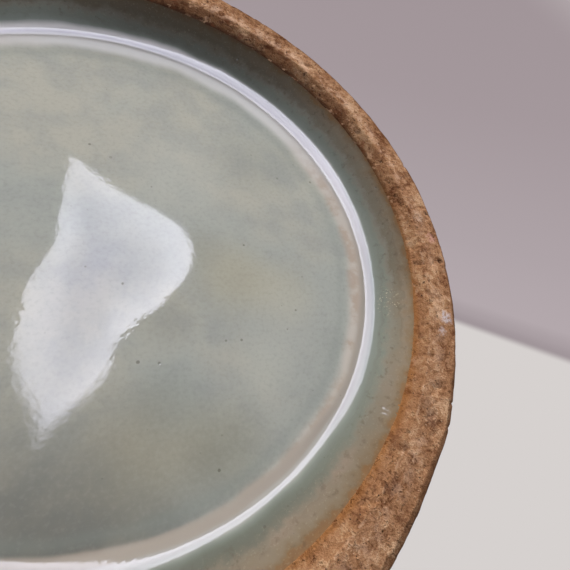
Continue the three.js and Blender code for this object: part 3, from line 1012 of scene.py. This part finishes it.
# %% Turn the sections and the seams
INSIDE_PIECES = {
    "base_disc": "thrown_base_disc",
    "lower_body": "thrown_lower_body",
    "upper_body": "thrown_upper_body",
    "neck": "thrown_neck",
    "mouth": "thrown_mouth",
    "base_luting": "luting_coil_on_the_base",
    "foot_luting": "luting_over_the_foot",
    "belly_luting": "luting_at_the_belly",
    "neck_luting": "luting_at_the_shoulder",
    "mouth_luting": "luting_under_the_mouth",
}
for node, name in INSIDE_PIECES.items():
    luted, closed = name.startswith("luting"), node != "base_disc"
    outline = softened(outlines[node], 1.2 * MM if luted else 4.0 * MM, closed, sharp=40)
    section = turned(name, outline, luting_clay if luted else stoneware, 160, closed)
    shape = TurnedMesh(section, outline)
    bare = shape.out[:, 0] < -0.3
    steps = 2 * np.pi * (shape.height / (9 * MM) + shape.angle / 360)
    if luted:
        rise = 0.5 * noise_at(shape.place, 9 * MM, 32) * MM * bare
    else:
        rise = (0.30 * np.sin(steps) + 0.25 * noise_at(shape.place, 22 * MM, 31)) * MM * bare
    at_seam = np.minimum(shape.height - outline[:, 1].min(), outline[:, 1].max() - shape.height)
    shape.move(rise * eased(at_seam, 0.0, 3 * MM))
    shape.keep()
    dressed(section, "luting_clay" if luted else "stoneware", node)

# %% [markdown]
# ## Iron specks and grit
# The bare ring is peppered with iron specks and pale grains of grit. They are too many to place by hand, so a
# Geometry Nodes tree scatters points over the bare faces, puts a small uneven grain on each and turns the
# result into real mesh. The seeds are fixed.

# %% Build the scattering tree
def grit_tree():
    inputs = {"Surface": "Geometry", "Density": "Float", "Smallest": "Float", "Largest": "Float"}
    inputs |= {"Seed": "Int", "Finish": "Material"}
    tree, nodes, given = new_group("grit_in_the_clay", "GeometryNodeTree", inputs, {"Grains": "Geometry"})
    seed, smallest = given["Seed"], given["Smallest"]
    bare = nodes.wire("GeometryNodeInputNamedAttribute", {"Name": "bare"}, data_type="FLOAT")
    spread = {"Mesh": given["Surface"], "Density": bare * given["Density"], "Seed": seed}
    points = nodes.wires("GeometryNodeDistributePointsOnFaces", spread, distribute_method="RANDOM")
    grain = nodes.wire("GeometryNodeMeshIcoSphere", {"Radius": 1.0, "Subdivisions": 1}, "Mesh")
    chance = nodes.wire("FunctionNodeRandomValue", {2: 0.0, 3: 1.0, "Seed": seed}, 1, data_type="FLOAT")
    size = nodes.math("MULTIPLY_ADD", chance ** 3.0, given["Largest"] - smallest, smallest)
    sides = {0: (0.7, 0.7, 0.35), 1: (1.4, 1.0, 0.6), "Seed": 5}
    squash = nodes.wire("FunctionNodeRandomValue", sides, data_type="FLOAT_VECTOR")
    scale = nodes.wire("ShaderNodeVectorMath", {0: squash, "Scale": size}, operation="SCALE")
    del points["Normal"]
    placed = nodes.wire("GeometryNodeInstanceOnPoints", {**points, "Instance": grain, "Scale": scale})
    deliver(nodes, placed, given["Finish"], "Grains")
    return tree


grit_in_the_clay = grit_tree()

# %% Scatter the grains
GRAINS = [
    ("iron_specks_in_the_foot", iron, 2.0e5, 0.07, 7),
    ("pale_grit_in_the_foot", pale_grit, 0.9e5, 0.08, 8),
]
LARGEST_GRAIN = 0.24 * MM
ring_bare = eased(from_line, 0.6 * MM, 1.4 * MM) * (1 - eased(from_line, 15.5 * MM, 16.5 * MM))
remember(foot_ring.data, bare=ring_bare)
for name, finish, density, smallest, seed in GRAINS:
    values = {"Density": density, "Smallest": smallest * MM, "Largest": LARGEST_GRAIN}
    values |= {"Seed": seed, "Finish": finish}
    grains = grown(name, foot_ring.data.copy(), grit_in_the_clay, values)
    corners = np.array([vertex.co for vertex in grains.data.vertices])
    corners[:, 2] = np.maximum(corners[:, 2], 0.0)
    settle(grains.data, corners)
    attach(grains, "root")
    print(name, "has", len(grains.data.polygons), "faces")

# %% [markdown]
# ## Floor
# The camera looks through the floor from below. The floor's material lets anything through from its back, and
# under the foot it lets light through as well, so that the lights below reach the base alone. From above it
# is a plain pale floor. Far out it glows a little for the eye, as it would darken towards its end.

# %% Finish of the floor
PALE = paint(214, 209, 207)
CLEAR_FOR_LIGHT, CLEAR_IN_MIRRORS = 1.08 * FOOT_RADIUS, 0.94 * FOOT_RADIUS


def floor_finish():
    made, nodes, place = new_material("pale_floor")
    shader = nodes.feed(made.node_tree.nodes["Principled BSDF"], {"Base Color": PALE, "Roughness": 0.7})
    far = nodes.wire("ShaderNodeVectorMath", {0: place}, "Value", operation="LENGTH")
    path = nodes.wires("ShaderNodeLightPath")
    looked_at = nodes.math("MAXIMUM", path["Is Camera Ray"], path["Is Glossy Ray"])
    clear_reach = path["Is Glossy Ray"] * (CLEAR_IN_MIRRORS - CLEAR_FOR_LIGHT) + CLEAR_FOR_LIGHT
    seen = nodes.math("MAXIMUM", nodes.math("GREATER_THAN", far, clear_reach), path["Is Camera Ray"])
    front = 1.0 - nodes.wire("ShaderNodeNewGeometry", output="Backfacing")
    glow = nodes.wire("ShaderNodeEmission", {"Color": PALE, "Strength": 1.0})
    sheet = (far.step(0.3, 1.6) * looked_at).blend(Wire(nodes, shader.outputs[0]), glow)
    both = (seen * front).blend(nodes.wire("ShaderNodeBsdfTransparent"), sheet)
    nodes.feed(made.node_tree.nodes["Material Output"], {"Surface": both})
    return made


# %% Lay the floor
def flat_sheet(name, corners, finish, faces):
    mesh = bpy.data.meshes.new(name)
    mesh.from_pydata(corners, [], faces)
    mesh.materials.append(finish)
    sheet = in_scene(name, mesh)
    return sheet


FLOOR_REACH, FLOOR_LEVEL = 6.0, -0.2 * MM
floor_ways = ((-1, -1), (1, -1), (1, 1), (-1, 1))
floor_corners = [(x * FLOOR_REACH, y * FLOOR_REACH, FLOOR_LEVEL) for x, y in floor_ways]
flat_sheet("floor", floor_corners, floor_finish(), [(0, 1, 2, 3)])
print(f"The floor reaches {FLOOR_REACH} m from the vase")

# %% [markdown]
# ## Surroundings
# Above the vase the eye meets a mauve wall that darkens towards a soft edge, with a paler wall beyond it.
# Towards the horizon it turns to the floor's pale tone, and under the horizon to grey. Only camera and mirror
# rays see that. Diffuse light from all round is dimmer and plain.

# %% Surroundings
WALL_WAY = (0.2755, -0.7937, 0.5427)


def surroundings():
    world = bpy.data.worlds.new("plain_room")
    world.use_nodes = True
    bpy.context.scene.world = world
    world.node_tree.nodes.clear()
    nodes = Nodes(world.node_tree)
    way = nodes.wire("ShaderNodeTexCoord", output="Generated")
    side = way.vector("DOT_PRODUCT", WALL_WAY, "Value")
    wall = side.step(-0.75, 0.0).ramp(
        (0.0, 160, 148, 152), (0.37, 164, 152, 156), (0.85, 174, 163, 167),
        (0.985, 179, 168, 172), (0.996, 168, 157, 161), (1.0, 158, 147, 151),
    )
    climb = way.part("Z")
    beyond = side.step(-0.012, 0.006).mix(wall, PALE)
    beyond = climb.step(0.10, 0.26).mix(PALE, beyond)
    seen = climb.step(-0.5, 0.0).mix(paint(120, 116, 116), beyond)
    path = nodes.wires("ShaderNodeLightPath")
    mirrored = nodes.math("MAXIMUM", path["Is Glossy Ray"], path["Is Transmission Ray"])
    direct = nodes.math("MAXIMUM", mirrored, path["Is Camera Ray"])
    backdrop = nodes.wire("ShaderNodeBackground", {"Color": seen, "Strength": 1.0})
    ambient = nodes.wire("ShaderNodeBackground", {"Color": paint(255, 253, 250), "Strength": 0.15})
    nodes.add("ShaderNodeOutputWorld", {"Surface": direct.blend(ambient, backdrop)})


surroundings()

# %% [markdown]
# ## Softbox
# The patch on the base and the bright line in its corner are both mirrored from a softbox below the vase. It
# is a flat mesh that glows, because a lamp can't have that outline. Its rings shrink towards a middle, so
# that its light can change: it is brightest along the rim, bluer inside, and its lower rim fades out.

# %% Light of the softbox
def softbox_light():
    made = bpy.data.materials.new("softbox_light")
    made.use_nodes = True
    nodes = Nodes(made.node_tree)
    inside, across, height = (nodes.attribute(name) for name in ("from_rim", "across", "height"))
    colour = inside.ramp((0.0, 240, 240, 255), (0.45, 230, 231, 255), (0.9, 216, 217, 255))
    power = inside.step(-0.35, 0.7, 14.0, 5.9)
    power = across.step(0.075, 0.115) * (8.2 - power) + power
    power = power * height.step(0.02, 0.09, 1.0, 0.76)
    power = power * (1.0 - height.fall(-0.15, -0.10) * inside.step(0.0, 0.17, 0.85, 0.0))
    light = nodes.wire("ShaderNodeEmission", {"Color": colour, "Strength": power})
    back = nodes.wire("ShaderNodeNewGeometry", output="Backfacing")
    lit = back.blend(light, nodes.wire("ShaderNodeBsdfTransparent"))
    nodes.feed(made.node_tree.nodes["Material Output"], {"Surface": lit})
    return made


# %% Outline and place of the softbox
# The outline is in millimetres in the sheet's own plane, round its centre.
SOFTBOX_CENTRE = Vector((-0.0308, 0.2241, -0.4360))
SOFTBOX_WAY = Vector((-0.0523, 0.4568, -0.8881)).normalized()
SOFTBOX_MIDDLE = (60, -20)
SOFTBOX_RINGS = 12
SOFTBOX_OUTLINE = [
    (-72, 4), (-70, 24), (-60, 41), (-43, 57), (-16, 71), (4, 78), (21, 85), (38, 90), (54, 98), (71, 109),
    (87, 117), (106, 125), (105, 102), (108, 60), (112, 12), (122, -16), (137, -60), (142, -100),
    (146, -150), (130, -200), (100, -262), (78, -242), (61, -223), (46, -206), (28, -185), (18, -161),
    (20, -139), (14, -122), (5, -104), (-9, -89), (-31, -72), (-49, -49), (-68, -17),
]


# %% Hang the softbox below the vase
def softbox_below():
    side = SOFTBOX_WAY.cross(Vector((0, 0, 1))).normalized()
    rise = side.cross(SOFTBOX_WAY)
    rim = np.array(SOFTBOX_OUTLINE, float)
    middle = np.array(SOFTBOX_MIDDLE, float)
    shares = np.linspace(1.0, 0.0, SOFTBOX_RINGS + 1)[:-1]
    flat = np.concatenate([middle + (rim - middle) * share for share in shares] + [[middle]])
    count, last = len(rim), len(flat) - 1
    faces = []
    for here in range(last):
        there = here + 1 if (here + 1) % count else here + 1 - count
        inner = (there + count, here + count) if here + count < last else (last,)
        faces.append((here, there, *inner))
    corners = [tuple(SOFTBOX_CENTRE + side * (x * MM) + rise * (y * MM)) for x, y in flat]
    sheet = flat_sheet("softbox", corners, softbox_light(), faces)
    from_rim = np.append(np.repeat(1 - shares, count), 1.0)
    remember(sheet.data, from_rim=from_rim, across=flat[:, 0] * MM, height=flat[:, 1] * MM)
    if sheet.data.polygons[0].normal.dot(SOFTBOX_WAY) > 0:
        sheet.data.flip_normals()
    sheet.visible_camera = False
    print("The softbox has", len(faces), "faces")


softbox_below()

# %% [markdown]
# ## Lamps
# A soft lamp low down makes one side of the well brighter. It stays out of the mirrors, because the picture
# shows no second patch. Three large lamps light the vase from above, for every other view.

# %% Lamps
# Each has a place, the height on the axis that it looks at, a width, a power, a colour, and a mirror image.
LAMPS = {
    "low_lamp": ((-0.16, 0.89, -0.43), 0.005, 0.45, 12.0, (255, 247, 238), False),
    "key_lamp": ((-1.1, -1.2, 1.7), 0.2, 1.1, 30.0, (255, 252, 248), True),
    "fill_lamp": ((1.5, -0.6, 1.2), 0.25, 1.2, 14.0, (248, 250, 255), True),
    "back_lamp": ((0.3, 1.6, 1.5), 0.25, 1.2, 14.0, (255, 253, 250), True),
}
for name, (place, aim, width, power, colour, in_mirrors) in LAMPS.items():
    light = bpy.data.lights.new(name, "AREA")
    light.shape = "DISK"
    light.size = width
    light.energy = power
    light.color = paint(*colour)[:3]
    lamp = in_scene(name, light)
    lamp.location = place
    lamp.rotation_mode = "QUATERNION"
    lamp.rotation_quaternion = (Vector((0, 0, aim)) - Vector(place)).to_track_quat("-Z", "Y")
    lamp.visible_glossy = in_mirrors
    lamp.visible_camera = False
print("Lamps:", list(LAMPS))

# %% [markdown]
# ## Camera
# The camera stands about 85 mm from the base with a wide lens. Its place and its tilt were worked out from
# how the circles of the foot look in the picture.

# %% Camera
PICTURE_WIDTH, FOCAL_LENGTH = 570, 400
RIGHT = Vector((-0.92276, -0.14536, -0.35691))
UP = Vector((0.01167, 0.91517, -0.40290))
BACK = Vector((0.38520, -0.37594, -0.84279))
camera = in_scene("camera", bpy.data.cameras.new("camera"))
camera.data.sensor_width = 36.0
camera.data.lens = FOCAL_LENGTH / PICTURE_WIDTH * 36.0
camera.data.clip_start = 0.002
camera.data.clip_end = 40.0
camera.rotation_mode = "QUATERNION"
camera.rotation_quaternion = Matrix((RIGHT, UP, BACK)).transposed().to_quaternion()
camera.location = (0.0, -0.57885 * FOOT_RADIUS, -0.88918 * FOOT_RADIUS)
bpy.context.scene.camera = camera
bpy.context.scene.view_settings.view_transform = "Standard"

# %% Print the sizes and finish
print("CAD box:", CAD_BOX)
